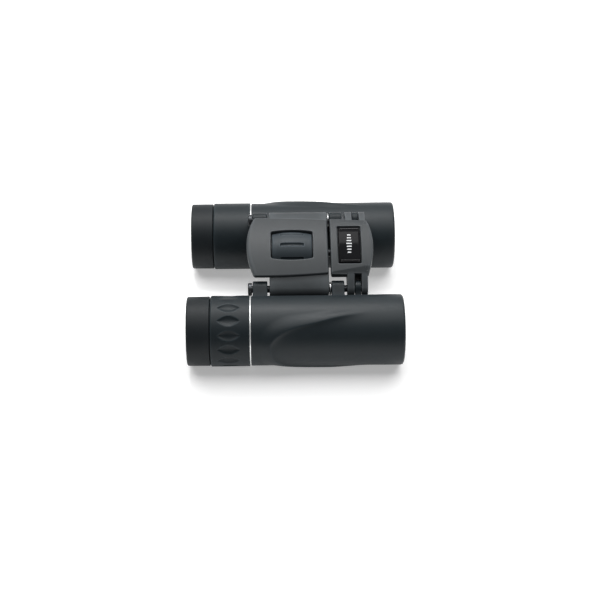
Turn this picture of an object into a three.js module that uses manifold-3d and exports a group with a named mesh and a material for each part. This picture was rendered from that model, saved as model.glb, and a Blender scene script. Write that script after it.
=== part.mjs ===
// Compact folding binoculars, 8 x 21 roof-prism type, in millimetres.
//
// Two straight barrels hang on a central bridge by two hinges. The user looks along +X: eyecups at -X,
// objectives at +X, bridge on top (+Z), right barrel at -Y. A focus wheel in the bridge turns a screw,
// which moves a slide along the hinge pins; the slide carries both objective cells by their arms.
// The origin is the middle of the footprint, on the surface that both barrels lie on.
import * as THREE from "three";
import { mergeVertices } from "three/addons/utils/BufferGeometryUtils.js";
import Module from "manifold-3d";

const wasm = await Module();
wasm.setup();

// ---------------------------------------------------------------- driving dimensions
const LENGTH = 92; // eyecup lip to objective rim
const BARREL_R = 15.15; // largest radius of a barrel
const HINGE_SPACING = 36; // between the two hinge pins
const HINGE_ARM = 19; // hinge pin to barrel axis
const RIGHT_OPEN = 80; // degrees that each barrel is swung out from straight under the bridge
const LEFT_OPEN = 13;

const GAP = 0.3; // between pieces that seat on each other
const WALL = 1.1;

const OUTER_SIDES = 30; // facets of the large round pieces
const INNER_SIDES = 20;
const PIN_SIDES = 12;

// Stations along X, from the eyecup to the objective
const END = LENGTH / 2;
const CUP_END = -36.25;
const RING = [-35.9, -19.9]; // dioptre ring, and the plain collar on the other barrel
const TRIM = [-19.6, -18.5];
const SHELL_START = -18.2;
const KNUCKLE_A = [-18.1, -11.7]; // barrel knuckle nearest the eyepiece
const BRIDGE_KNUCKLE = [-10.8, 14.9];
const KNUCKLE_B = [16.0, 21.5];
const EARS = [22.8, 31.7]; // slide ears, split by the focus arm
const ARM = [26.25, 28.65]; // focus arm and its eye
const ARM_SLOT = [25.9, 29.0];
const SLIDE_TRAVEL = [-0.8, 2.2];

const KNUCKLE_R = 3.5;
const PIN_R = 1.5;
const PIN_BORE_R = 1.7;
const PIN_HEAD_R = 2.8;

// Bridge heights above the plane of the hinge pins
const FLOOR_Z = -2.8;
const DECK_Z = 5.4; // top of the base, under the cover
const CROWN_Z = 8.1; // top of the cover on its centre line
const CROWN_EDGE = [14.6, 6.5]; // the crown's height at that distance from the centre line

const WHEEL_X = [-9.65, 7.85];
const WHEEL_Z = 0.6;
const WHEEL_R = 9.4;
const WHEEL_END_R = 8.4;
const WHEEL_GROOVES = 9;
const GROOVE_PHASE = 8.4; // degrees that the first one stands from the top
const SCREW_R = 1.6;
const SCREW_BORE_R = 1.85; // in the nut and the bushes

const HOUSING_R = 13.7;
const BORE_R = HOUSING_R - WALL;
const CELL_R = BORE_R - 0.4; // outside of what slides or seats in the housing
const OCULAR_R = 11.4;

const HALF_TURN = Math.PI;
const rad = THREE.MathUtils.degToRad;

// ---------------------------------------------------------------- materials
const finish = (color, roughness, metalness = 0) => new THREE.MeshStandardMaterial({ color, roughness, metalness });
const looks = {
  armour: finish(0x2b2f32, 0.7),
  shell: finish(0x2e3235, 0.55),
  deck: finish(0x505355, 0.5),
  rubber: finish(0x26292b, 0.8),
  wheel: finish(0x43484c, 0.45),
  chrome: finish(0xe8e8e6, 0.15, 1),
  steel: finish(0xa8aaac, 0.3, 1),
  blued: finish(0x34383c, 0.35, 1),
  brass: finish(0xb08d45, 0.3, 1),
  black: finish(0x111213, 0.6),
  badge: finish(0x0c0c0d, 0.12),
  glass: finish(0xb9c6cf, 0.02),
  coated: finish(0x6d4f7d, 0.02),
};

// ---------------------------------------------------------------- shape helpers
function toSolid(geometry) {
  const plain = new THREE.BufferGeometry().setAttribute("position", geometry.getAttribute("position"));
  if (geometry.index) plain.setIndex(geometry.index);
  const merged = mergeVertices(plain, 1e-4);
  const corners = [];
  const index = merged.index.array;
  for (let i = 0; i < index.length; i += 3) {
    const [a, b, c] = [index[i], index[i + 1], index[i + 2]];
    if (a !== b && b !== c && a !== c) corners.push(a, b, c);
  }
  const vertProperties = merged.attributes.position.array;
  return new wasm.Manifold(new wasm.Mesh({ numProp: 3, vertProperties, triVerts: new Uint32Array(corners) }));
}

function toGeometry(solid) {
  const { vertProperties, triVerts } = solid.getMesh();
  return new THREE.BufferGeometry()
    .setAttribute("position", new THREE.BufferAttribute(vertProperties, 3))
    .setIndex(new THREE.BufferAttribute(triVerts, 1));
}

// Revolves a closed outline of [x, radius] points about the X axis.
function turned(outline, sides, y = 0, z = 0) {
  const twiceArea = outline.reduce((sum, [x, r], i) => {
    const [nextX, nextR] = outline[(i + 1) % outline.length];
    return sum + x * nextR - nextX * r;
  }, 0);
  const ordered = twiceArea < 0 ? outline : [...outline].reverse();
  const onAxis = ordered.findIndex(([, r], i) => r === 0 && ordered.at(i - 1)[1] === 0);
  const start = onAxis < 0 ? 0 : onAxis;
  const path = [...ordered.slice(start), ...ordered.slice(0, start)];
  if (onAxis < 0) path.push(path[0]);
  const geometry = new THREE.LatheGeometry(path.map(([x, r]) => new THREE.Vector2(r, x)), sides);
  return toSolid(geometry.rotateZ(-HALF_TURN / 2).translate(0, y, z));
}

const tube = ([x0, x1], inner, outer, sides, y = 0, z = 0) =>
  turned([[x0, inner], [x0, outer], [x1, outer], [x1, inner]], sides, y, z);
const rod = (span, radius, sides, y = 0, z = 0) => tube(span, 0, radius, sides, y, z);

const box = ([x0, x1], [y0, y1], [z0, z1]) =>
  toSolid(new THREE.BoxGeometry(x1 - x0, y1 - y0, z1 - z0).translate((x0 + x1) / 2, (y0 + y1) / 2, (z0 + z1) / 2));

// A plan shape in (x, y), raised from z0 to z1.
const slab = (shape, [z0, z1], curveSegments = 6) =>
  toSolid(new THREE.ExtrudeGeometry(shape, { depth: z1 - z0, bevelEnabled: false, curveSegments }).translate(0, 0, z0));

// A section in (y, z), carried along X.
const bar = (shape, [x0, x1], curveSegments = 6) =>
  toSolid(
    new THREE.ExtrudeGeometry(shape, { depth: x1 - x0, bevelEnabled: false, curveSegments })
      .rotateZ(HALF_TURN / 2)
      .rotateY(HALF_TURN / 2)
      .translate(x0, 0, 0),
  );

const polygon = (points) => new THREE.Shape(points.map(([a, b]) => new THREE.Vector2(a, b)));
const join = (first, ...rest) => rest.reduce((all, next) => all.add(next), first);
const cut = (first, ...tools) => tools.reduce((left, tool) => left.subtract(tool), first);

// Copies of a shape set round the X axis: make(turn) builds the shape and turns it by that angle.
const aroundX = (count, phase, make) => Array.from({ length: count }, (_, i) => make(rad(phase + (i * 360) / count)));
const both = (make) => join(make(1), make(-1));

const screwShape = ([x, y], headZ, tipZ, headR = 1.6, shankR = 0.8) =>
  toSolid(
    new THREE.LatheGeometry(
      [[0, headZ], [headR, headZ], [headR, headZ + 1], [shankR, headZ + 1], [shankR, tipZ], [0, tipZ]].map(
        ([r, z]) => new THREE.Vector2(r, z),
      ),
      12,
    )
      .rotateX(HALF_TURN / 2)
      .translate(x, y, 0),
  );
const screwHole = ([x, y], [z0, z1], r) =>
  toSolid(new THREE.CylinderGeometry(r, r, z1 - z0, 12).rotateX(HALF_TURN / 2).translate(x, y, (z0 + z1) / 2));

function piece(name, solid, look) {
  const mesh = new THREE.Mesh(toGeometry(solid), looks[look]);
  mesh.name = name;
  return mesh;
}

// ---------------------------------------------------------------- bridge
const PIN_Y = HINGE_SPACING / 2;
const CORE_Y = 10.4; // half width of the bridge beside the barrel knuckles, under the cover and the slide
const COVER_SCREWS = [[-13.4, 7.6], [-13.4, -7.6], [11.8, 11.2], [11.8, -11.2]];
const SLIDE_SCREWS = [[19.6, 7.4], [19.6, -7.4]];
const WHEEL_WELL = [[WHEEL_X[0] - 0.8, WHEEL_X[1] + 0.8], [-WHEEL_R - 0.9, WHEEL_R + 0.9]];

const pinBore = (side) => rod([-30, 40], PIN_BORE_R, PIN_SIDES, side * PIN_Y, 0);

// Half of the hump that falls from the deck to a hinge knuckle, in (y, z).
const hump = (deckY, deckZ) => [[deckY, deckZ], [19.4, 3], [PIN_Y, 0], [16.8, -2.6], [15, FLOOR_Z]];

function humpBar(span, deckY, deckZ) {
  const half = hump(deckY, deckZ);
  const mirrored = half.map(([y, z]) => [-y, z]).reverse();
  const section = bar(polygon([...mirrored, ...half]), span);
  return join(section, both((side) => rod(span, KNUCKLE_R, INNER_SIDES, side * PIN_Y, 0)));
}

// The arched top shared by the cover and the slide, as a bar under a wide arc.
function crownBar(span) {
  const [edgeY, edgeZ] = CROWN_EDGE;
  const sag = CROWN_Z - edgeZ;
  const radius = (edgeY * edgeY + sag * sag) / (2 * sag);
  const half = Math.asin(17 / radius);
  const arch = new THREE.Shape();
  arch.absarc(0, CROWN_Z - radius, radius, HALF_TURN / 2 - half, HALF_TURN / 2 + half, false);
  arch.lineTo(-17, FLOOR_Z - 1);
  arch.lineTo(17, FLOOR_Z - 1);
  return bar(arch, span, 10);
}

function bridgeBase() {
  const knuckled = humpBar(BRIDGE_KNUCKLE, 14.4, DECK_Z);
  const tail = box([-16.2, BRIDGE_KNUCKLE[0] + 0.1], [-CORE_Y, CORE_Y], [FLOOR_Z, DECK_Z]);
  const screwBore = rod([-15.6, 20], 2.9, INNER_SIDES, 0, WHEEL_Z);
  const holes = COVER_SCREWS.flatMap((at) => [screwHole(at, [-5, 10], 1.05), screwHole(at, [-5, FLOOR_Z + 1.4], 1.95)]);
  return cut(join(knuckled, tail), box(...WHEEL_WELL, [-10, 10]), screwBore, both(pinBore), ...holes);
}

// Plan of the cover: bowed at the eyepiece end, its long edges closing slightly towards the slide.
function coverPlan(inset = 0) {
  const [x0, x1, wide, narrow] = [-17.5 + inset, 14.7, 15.1 - inset, 14.0 - inset];
  const plan = new THREE.Shape();
  plan.moveTo(x0, -wide);
  plan.quadraticCurveTo(-4, -wide - 0.3, x1, -narrow);
  plan.lineTo(x1, narrow);
  plan.quadraticCurveTo(-4, wide + 0.3, x0, wide);
  plan.quadraticCurveTo(x0 - 6.4, 0, x0, -wide);
  return plan;
}

function windowPlan() {
  const [x0, x1, corner, middle] = [-10.1, 8.2, 6.8, 8.5];
  const plan = new THREE.Shape();
  plan.moveTo(x0, -corner);
  plan.quadraticCurveTo((x0 + x1) / 2, -middle, x1, -corner);
  plan.lineTo(x1, corner);
  plan.quadraticCurveTo((x0 + x1) / 2, middle, x0, corner);
  return plan;
}

function bridgeCover() {
  const skirtZ = 4.8;
  const seatZ = DECK_Z + GAP;
  const lid = slab(coverPlan(), [skirtZ, 10]).intersect(crownBar([-24, 16]));
  const overDeck = box([BRIDGE_KNUCKLE[0] - 0.1, 16], [-20, 20], [0, seatZ]);
  const insideSkirt = slab(coverPlan(1.3), [0, seatZ]);
  const holes = COVER_SCREWS.map((at) => screwHole(at, [5, 6.6], 1.05));
  return cut(lid, overDeck, insideSkirt, slab(windowPlan(), [0, 12]), box(...WHEEL_WELL, [0, 6.4]), ...holes);
}

const hingePin = (side) =>
  turned([[-20.2, 0], [-20.2, PIN_HEAD_R], [-18.4, PIN_HEAD_R], [-18.4, PIN_R], [31.2, PIN_R], [31.2, 0]],
    PIN_SIDES, side * PIN_Y, 0);
const hingeWasher = (side) => tube([15.15, 15.75], 1.75, 2.9, PIN_SIDES, side * PIN_Y, 0);
const screwBush = (span) => tube(span, SCREW_BORE_R, 2.6, PIN_SIDES, 0, WHEEL_Z);

function makeBridge() {
  const group = new THREE.Group();
  group.add(
    piece("bridge_base", bridgeBase(), "shell"),
    piece("bridge_cover", bridgeCover(), "deck"),
    piece("rear_screw_bush", screwBush([-14.8, -10.9]), "brass"),
    piece("front_screw_bush", screwBush([9.1, 14.5]), "brass"),
  );
  for (const [word, side] of [["right", -1], ["left", 1]]) {
    group.add(piece(`${word}_hinge_pin`, hingePin(side), "blued"));
    group.add(piece(`${word}_hinge_washer`, hingeWasher(side), "steel"));
  }
  COVER_SCREWS.forEach((at, i) =>
    group.add(piece(`cover_screw_${i + 1}`, screwShape(at, FLOOR_Z + 0.2, 6.3), "steel")));
  return group;
}

// ---------------------------------------------------------------- focus wheel and slide
function wheelGrip() {
  const [x0, x1] = WHEEL_X;
  const middle = (x0 + x1) / 2;
  const quarter = (x1 - x0) / 4;
  const shoulder = WHEEL_END_R + 0.75 * (WHEEL_R - WHEEL_END_R);
  const sleeve = turned(
    [[x0, 6.9], [x0, WHEEL_END_R], [middle - quarter, shoulder], [middle, WHEEL_R], [middle + quarter, shoulder],
      [x1, WHEEL_END_R], [x1, 6.9]], OUTER_SIDES);
  const grooves = aroundX(WHEEL_GROOVES, GROOVE_PHASE, (turn) =>
    toSolid(new THREE.BoxGeometry(10.5, 1.8, 1.6).translate(middle, 0, WHEEL_R + 0.1).rotateX(turn)));
  return cut(sleeve, ...grooves);
}

function makeWheel() {
  const group = new THREE.Group();
  group.position.z = WHEEL_Z;
  group.add(
    piece("focus_wheel_hub", tube(WHEEL_X, 1.9, 6.6, INNER_SIDES), "black"),
    piece("focus_wheel_grip", wheelGrip(), "wheel"),
    piece("focus_screw", rod([-15.2, 25], SCREW_R, PIN_SIDES), "blued"),
  );
  return group;
}

const NUT_SLOT = [17.4, 23];
const BADGE = [[19.3, 28.9], [-9.3, 9.3], [6.8, 7.3]];
const grown = ([low, high], by) => [low - by, high + by];

function slideBridge() {
  const plan = new THREE.Shape();
  plan.moveTo(15.9, -14.4);
  plan.lineTo(31.8, -14.4);
  plan.quadraticCurveTo(37.2, 0, 31.8, 14.4);
  plan.lineTo(15.9, 14.4);
  const top = slab(plan, [3.6, 10]).intersect(crownBar([15, 36]));
  const core = box([15.9, 31.8], [-CORE_Y, CORE_Y], [FLOOR_Z + 1.5, 4]);
  const ears = cut(humpBar(EARS, 14.3, 6.5), box([0, 40], [-13.2, 13.2], [-10, FLOOR_Z + 1.5]));
  const armSlot = (side) => box(ARM_SLOT, side < 0 ? [-30, -14.1] : [14.1, 30], [-10, 10]);
  const badgeSeat = box(grown(BADGE[0], 0.2), grown(BADGE[1], 0.2), [BADGE[2][0] - GAP, 12]);
  const nutBore = rod([17.4, 24.3], 3.2, INNER_SIDES, 0, WHEEL_Z);
  const screwWay = rod([10, 20], 2.1, PIN_SIDES, 0, WHEEL_Z);
  const hollow = box([24.2, 30.4], [-9.4, 9.4], [-10, 4.6]);
  const holes = SLIDE_SCREWS.map((at) => screwHole(at, [-5, 4], 1.05));
  return cut(join(top, core, ears), both(armSlot), both(pinBore), badgeSeat, nutBore, screwWay, hollow, ...holes);
}

function slideFloor() {
  const plate = box([16.4, 31.2], [-10.2, 10.2], [FLOOR_Z, FLOOR_Z + 1.2]);
  return cut(plate, box(NUT_SLOT, [-3.5, 3.5], [-5, 0]), ...SLIDE_SCREWS.map((at) => screwHole(at, [-5, 0], 1.95)));
}

function makeSlide() {
  const group = new THREE.Group();
  group.add(
    piece("focus_slide", slideBridge(), "deck"),
    piece("slide_floor", slideFloor(), "shell"),
    piece("slide_badge", box(...BADGE), "badge"),
    piece("focus_nut", tube([17.8, 22.6], SCREW_BORE_R, 2.9, PIN_SIDES, 0, WHEEL_Z), "brass"),
  );
  SLIDE_SCREWS.forEach((at, i) =>
    group.add(piece(`slide_screw_${i + 1}`, screwShape(at, FLOOR_Z + 0.2, 3.6), "steel")));
  return group;
}

// ---------------------------------------------------------------- barrels
// A barrel is built with its axis on X and its hinge pin above it, at z = HINGE_ARM.
const ARM_Z = [13.0, HINGE_ARM];
const hingeArm = (span) =>
  join(box(span, [-KNUCKLE_R, KNUCKLE_R], ARM_Z), rod(span, KNUCKLE_R, INNER_SIDES, 0, HINGE_ARM));
const hingeBore = (r) => rod([-30, 40], r, PIN_SIDES, 0, HINGE_ARM);
const SLOT_X = [ARM[0] + SLIDE_TRAVEL[0] - 0.4, ARM[1] + SLIDE_TRAVEL[1] + 0.5];

function housing() {
  const shell = tube([SHELL_START, 42], BORE_R, HOUSING_R, OUTER_SIDES);
  const slot = box(SLOT_X, [-2.4, 2.4], [8, 20]);
  return cut(join(shell, hingeArm(KNUCKLE_A), hingeArm(KNUCKLE_B)), hingeBore(PIN_BORE_R), slot);
}

// The skin swells on the side that faces away from the other barrel, under the user's palm.
const SWELL = 0.9;
function armour([outY, outZ]) {
  const skin = turned(
    [[SHELL_START, 0], [SHELL_START, 14.9], [16, 14.9], [38, BARREL_R], [43.2, BARREL_R], [45.2, 14.6], [END, 13.8],
      [END, 0]], OUTER_SIDES);
  const swell = turned(
    [[-15, 0], [-15, 13.4], [-8, 14.9], [4, 15.05], [14, 14.9], [28, 13.4], [28, 0]],
    OUTER_SIDES, outY * SWELL, outZ * SWELL);
  const opening = (span, half) => box(span, [-half, half], [8, 20]);
  return cut(
    join(skin, swell),
    rod([-20, 43], 14, OUTER_SIDES),
    rod([42, 50], 12.6, OUTER_SIDES),
    opening([-30, KNUCKLE_A[1] + GAP], KNUCKLE_R + GAP),
    opening(grown(KNUCKLE_B, GAP), KNUCKLE_R + GAP),
    opening(grown(SLOT_X, GAP), 2.8),
  );
}

const DIMPLES = 15;
const DIMPLE_HALF = [4.65, 2.0, 0.9]; // along X, round the ring, deep
const DIMPLE_PHASE = -2.5; // degrees that the first one stands from the hinge

function ocularRing(dimpled) {
  const ring = turned(
    [[RING[0] - 3.4, 11.7], [RING[0] - 3.4, 12.9], [RING[0], 12.9], [RING[0], BARREL_R - 0.25],
      [RING[0] + 0.4, BARREL_R], [RING[1], BARREL_R], [RING[1], 11.7]], OUTER_SIDES);
  if (!dimpled) return ring;
  const scoops = aroundX(DIMPLES, DIMPLE_PHASE, (turn) =>
    toSolid(new THREE.OctahedronGeometry(1).scale(...DIMPLE_HALF).translate(-28.1, 0, BARREL_R).rotateX(turn)));
  return cut(ring, ...scoops);
}

const eyecup = () =>
  turned(
    [[-END, 13.5], [-END, 14.3], [-45.3, 14.7], [CUP_END, 14.8], [CUP_END, 13.2], [-45.2, 13.2]], OUTER_SIDES);

const ocularTube = () =>
  turned(
    [[-35.6, 10.3], [-35.6, OCULAR_R], [-18.1, OCULAR_R], [-18.1, CELL_R], [-15.5, CELL_R], [-15.5, OCULAR_R],
      [-12.5, OCULAR_R], [-12.5, 10.3]], INNER_SIDES);

const ocularCell = () =>
  turned([[-38.3, 7.6], [-38.3, 11.3], [-37, 11.3], [-37, 10], [-20, 10], [-20, 9], [-37, 9], [-37, 7.6]],
    INNER_SIDES);

// A lens from its rim radius, rim span and how far each face bulges beyond the rim.
function lens(radius, [x0, x1], bulgeBack, bulgeFront) {
  const face = (x, bulge) => [0.5, 0].map((share) => [x + bulge * (1 - share * share), radius * share]);
  const back = face(x0, -bulgeBack).reverse();
  const front = face(x1, bulgeFront);
  return turned([...back, [x0, radius], [x1, radius], ...front], INNER_SIDES);
}

function prismCage() {
  const body = rod([-9, 17], CELL_R, INNER_SIDES);
  return cut(body, box([-20, 20], [-5.2, 5.2], [-7.2, 10.4]));
}

// Both prisms as sections in (x, z), parted by a thin air gap at 45 degrees; the Schmidt prism has the roof.
function prism(section) {
  const half = 4.9;
  const shape = polygon(section);
  return toSolid(
    new THREE.ExtrudeGeometry(shape, { depth: 2 * half, bevelEnabled: false }).rotateX(HALF_TURN / 2).translate(0, half, 0));
}
const HALF_PENTA = [[15.8, -5], [15.8, 4.6], [4.2, 9.4], [1.4, 9.4]];
const SCHMIDT = [[0.8, 9.4], [-7.6, 9.4], [-7.6, -6.8], [2.9, -6.8], [7, 3.2]];

function objectiveCell() {
  const body = turned(
    [[23.5, 11], [23.5, CELL_R], [37.9, CELL_R], [37.9, 11], [30.5, 11], [30.5, 10.2], [29, 10.2], [29, 11]],
    INNER_SIDES);
  const arm = join(box(ARM, [-2, 2], [11.6, HINGE_ARM]), rod(ARM, 3.4, PIN_SIDES, 0, HINGE_ARM));
  return join(body, arm).subtract(hingeBore(1.8));
}

function makeBarrel(word, side, angle) {
  const group = new THREE.Group();
  const add = (name, solid, look) => group.add(piece(`${word}_${name}`, solid, look));
  const outward = [side * Math.cos(angle), -Math.sin(angle)];
  const dimpled = side < 0;
  add("barrel_housing", housing(), "shell");
  add("rubber_armour", armour(outward), "armour");
  add("trim_ring", tube(TRIM, 11.7, 14.95, OUTER_SIDES), "chrome");
  add("hood_ring", tube([40.8, 45.4], 11.4, 12.3, INNER_SIDES), "black");
  add("prism_cage", prismCage(), "black");
  add("half_penta_prism", prism(HALF_PENTA), "glass");
  add("schmidt_prism", prism(SCHMIDT), "glass");
  add("prism_clip", box([-5, 12], [-3, 3], [9.7, 10.2]), "steel");
  add("field_stop", tube([-10.9, -9.4], 5.5, CELL_R, INNER_SIDES), "black");
  add("ocular_tube", ocularTube(), "black");
  add("ocular_cell", ocularCell(), "black");
  add("eye_lens", lens(8.7, [-35.7, -33.2], 1.3, 1.0), "coated");
  add("field_lens", lens(8.7, [-25.4, -23.2], 1.2, 0.6), "glass");
  add("ocular_retainer", tube([-21.9, -20.3], 7.4, 8.7, INNER_SIDES), "black");
  add("objective_cell", objectiveCell(), "black");
  add("objective_lens", lens(10.7, [30.9, 35.2], -0.01, 1.8), "coated");
  add("objective_retainer", tube([36.1, 37.6], 9.6, 10.7, INNER_SIDES), "black");
  add("eyecup", eyecup(), "rubber");
  add(dimpled ? "dioptre_ring" : "ocular_collar", ocularRing(dimpled), "rubber");
  group.position.set(0, (side * barrelSpan) / 2, BARREL_R);
  group.rotation.x = side * angle;
  return group;
}

// ---------------------------------------------------------------- assembly
// The bridge leans until both barrels lie at one height.
const reach = HINGE_SPACING + HINGE_ARM * (Math.sin(rad(RIGHT_OPEN)) + Math.sin(rad(LEFT_OPEN)));
const rise = HINGE_ARM * (Math.cos(rad(LEFT_OPEN)) - Math.cos(rad(RIGHT_OPEN)));
const lean = Math.atan2(rise, reach);
const barrelSpan = Math.hypot(reach, rise);
const rightAngle = rad(RIGHT_OPEN) - lean; // of the barrel's arm from upright, after the lean
const leftAngle = rad(LEFT_OPEN) + lean;
const rightPin = [
  -barrelSpan / 2 + HINGE_ARM * Math.sin(rightAngle),
  BARREL_R + HINGE_ARM * Math.cos(rightAngle),
];

const bridge = new THREE.Group();
bridge.add(makeBridge(), makeWheel(), makeSlide());
bridge.position.set(0, rightPin[0] + PIN_Y * Math.cos(lean), rightPin[1] + PIN_Y * Math.sin(lean));
bridge.rotation.x = lean;

const binoculars = new THREE.Group();
binoculars.add(bridge, makeBarrel("right", -1, rightAngle), makeBarrel("left", 1, leftAngle));

export default binoculars;
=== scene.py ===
"""Compact folding binoculars: visible surfaces, materials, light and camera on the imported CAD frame.

Shapes are made in millimetres in a local frame, the bridge's, the wheel's or a barrel's, whose X runs from
the eyecups to the objectives, and are then placed where the CAD nodes are.
"""
import math

import bmesh
import bpy
import numpy as np
from mathutils import Matrix, Vector


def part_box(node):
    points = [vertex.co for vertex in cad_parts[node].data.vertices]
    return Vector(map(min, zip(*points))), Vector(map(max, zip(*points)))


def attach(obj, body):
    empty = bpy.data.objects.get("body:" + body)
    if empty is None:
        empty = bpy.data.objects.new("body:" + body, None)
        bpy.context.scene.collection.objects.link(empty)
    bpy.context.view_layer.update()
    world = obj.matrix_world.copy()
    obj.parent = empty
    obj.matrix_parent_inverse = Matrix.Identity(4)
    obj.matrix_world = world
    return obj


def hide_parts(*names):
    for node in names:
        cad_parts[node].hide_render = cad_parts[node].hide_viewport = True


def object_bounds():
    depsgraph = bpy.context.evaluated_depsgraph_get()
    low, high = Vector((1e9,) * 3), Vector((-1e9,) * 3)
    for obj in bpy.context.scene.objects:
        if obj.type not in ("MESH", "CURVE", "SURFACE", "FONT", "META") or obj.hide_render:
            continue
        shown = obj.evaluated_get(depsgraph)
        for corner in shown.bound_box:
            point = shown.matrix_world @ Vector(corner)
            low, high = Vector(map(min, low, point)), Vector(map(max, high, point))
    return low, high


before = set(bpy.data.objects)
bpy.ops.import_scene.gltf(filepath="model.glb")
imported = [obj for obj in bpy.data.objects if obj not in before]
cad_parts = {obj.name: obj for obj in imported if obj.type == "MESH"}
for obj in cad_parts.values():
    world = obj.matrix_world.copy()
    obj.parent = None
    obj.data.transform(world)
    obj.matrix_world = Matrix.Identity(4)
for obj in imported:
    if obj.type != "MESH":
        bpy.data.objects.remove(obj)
cad_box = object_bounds()

MM = 0.001
X_AXIS = Vector((1, 0, 0))
SIDES = {"right": -1, "left": 1}
FULL_TURN = 2 * math.pi


# ---------------------------------------------------------------- local frames
def centre_line(node):
    """The middle of a round CAD node, at X = 0."""
    low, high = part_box(node)
    return Vector((0, (low.y + high.y) / 2, (low.z + high.z) / 2))


def local_frame(origin, up):
    """Matrix from local millimetres to the world: X stays, Z becomes up, and Y lies across."""
    up = up.normalized()
    turn = Matrix((X_AXIS, up.cross(X_AXIS), up)).transposed().to_4x4()
    return Matrix.Translation(origin) @ turn @ Matrix.Scale(MM, 4)


PINS = {word: centre_line(f"{word}_hinge_pin") for word in SIDES}
BRIDGE_UP = X_AXIS.cross(PINS["left"] - PINS["right"])
BRIDGE = local_frame((PINS["left"] + PINS["right"]) / 2, BRIDGE_UP)
WHEEL = local_frame(centre_line("focus_screw"), BRIDGE_UP)
AXES = {word: centre_line(f"{word}_trim_ring") for word in SIDES}
BARRELS = {word: local_frame(AXES[word], PINS[word] - AXES[word]) for word in SIDES}


def local_points(node, place):
    """The corners of a CAD node's mesh in a local frame."""
    back = place.inverted()
    return np.array([back @ v.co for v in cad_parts[node].data.vertices])


def local_box(node, place):
    """Lowest and highest corner of a CAD node in a local frame."""
    points = local_points(node, place)
    return points.min(0), points.max(0)


def round_size(node, place):
    """(x0, x1, inner radius, outer radius) of a CAD node that is round about a local frame's X axis."""
    points = local_points(node, place)
    radii = np.hypot(points[:, 1], points[:, 2])
    return points[:, 0].min(), points[:, 0].max(), radii.min(), radii.max()


# ---------------------------------------------------------------- driving dimensions, in local millimetres
GAP = 0.3  # the usual step between neighbouring pieces
CLEARANCE = 0.06  # between the trim ring and its neighbours

# Hinges
PIN_Y = (PINS["left"] - PINS["right"]).length / 2 / MM
HINGE_ARM = (PINS["left"] - AXES["left"]).length / MM  # hinge pin to barrel axis
KNUCKLE_R = 3.5
PIN_BORE_R = 1.7
KNUCKLES = ((-18.1, -11.7), (16.0, 21.5))  # along X, on each barrel

# Bridge, with heights above the plane of the pins
FLOOR_Z = local_box("bridge_base", BRIDGE)[0][2] + 0.7  # the knuckles hang 0.7 below the floor
DECK_Z = 5.4  # top of the base, under the cover
CROWN_Z = local_box("bridge_cover", BRIDGE)[1][2]
CROWN_EDGE = (14.6, CROWN_Z - 1.6)  # the crown's height at that distance from the centre line
RAIL_X = (-10.8, 14.9)
SHOULDER_Y = 14.4  # where a rail starts to fall from the deck
ROLL_TURN = (66, -127)  # degrees round the pin between which a rail follows its knuckle
UNDER_Y = (16.0, 14.5, 13)  # points along the floor, from the knuckle inwards
WELL_Y = 10.3  # half width of the wheel's well
REAR_BLOCK_X = -16.2
REAR_BLOCK_HALF = 10.4
FRONT_BLOCK_X = 8.65
BUSH_BORE_R = 2.9
COVER_X = (-17.5, 14.7)
COVER_HALF = (15.1, 14.0)  # half width at each end
COVER_BOW = (-4, 15.4)  # control point of a long side
COVER_REAR_X = -23.9  # control point of the bowed rear end
WINDOW_X = (-10.1, 8.2)
WINDOW_HALF = 6.8  # half width at the ends
WINDOW_BOW_Y = 8.5  # control point of a long side
PIN_R = 1.5
SCREW_UP = (BRIDGE.inverted() @ centre_line("focus_screw")).z

# Focus wheel
WHEEL_HUB_R = 6.6
WHEEL_BORE_R = 1.9
WHEEL_BELLY = 1.0  # how much thicker the wheel is at its middle than at its ends
GROOVES = 9
GROOVE_PHASE = math.radians(8.4)  # how far the first groove stands from the top
GROOVE_SIZE = (5.25, 0.9, 0.75)  # half length, half width, depth

# Focus slide
SLIDE_X = (15.9, 31.9)
SLIDE_HALF = 14.5
SLIDE_BOW_X = 37.1  # control point of the bowed objective end
CREASE_Y = (13.6, 10.6)  # half width of the arched part, at each end of the slide
EARS = (22.8, 31.7)
EAR_Y = 14.0  # where the ears' own surface takes over from the lid
ARM_SLOT = (25.9, 29.0)  # the gap in the ears for the focus arm
ARM_X = (26.25, 28.65)
CORE_BOX = (-10.4, 10.4, -1.4, 6.6)  # y0, y1, z0, z1 of the block round the focus nut
CORE_BORE_R = 3.2
WALL_X = (30.2, 31.5)
WALL_HALF = 10.3
WEB_Y = (10, 14.0)
BADGE_EDGE_X = (20.1, 28.5)
BADGE_EDGE_IN = (1.25, 0.6)  # how far a bright edge's sides lie inside the badge's long side
BADGE_X = 24  # middle of the badge's marks
BAR_HALF = 0.3
BAR_PITCH = 1.5

# Barrels
TRIM_X = sum(corner.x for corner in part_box("left_trim_ring")) / 2 / MM
TRIM_HALF = 0.3
SHELL_START = TRIM_X + TRIM_HALF + CLEARANCE
SHELL_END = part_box("left_rubber_armour")[1].x / MM
LINING_END = 43.0
LINING_R = 14.0
HOOD_R = 12.6
SKIN_R = 14.9
RIM_R = 15.12
LIP_R = 1.1
FLARE_X = (16, 38)  # the skin widens from SKIN_R to RIM_R between these
ARM_OPENING = (24.75, 31.65)  # room in the armour for the focus arm to travel
ARM_OPENING_HALF = 2.8
ARM_HALF = 2.0
ARM_BORE_R = 1.8
KNUCKLE_OPENINGS = ((-19.2, -11.4), (15.7, 21.8))  # in the armour, the first from before its end
KNUCKLE_OPENING_HALF = 3.8
CELL_R = (11.0, 12.2)  # bore and outside of the objective cell
TRIM_BORE_R = 11.7
DIMPLES = 15
DIMPLE_X = -28.15
DIMPLE_PHASE = math.radians(2.5)
DIMPLE_SIZE = (4.65, 2.35, 0.85)  # half length, half width, depth


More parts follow.
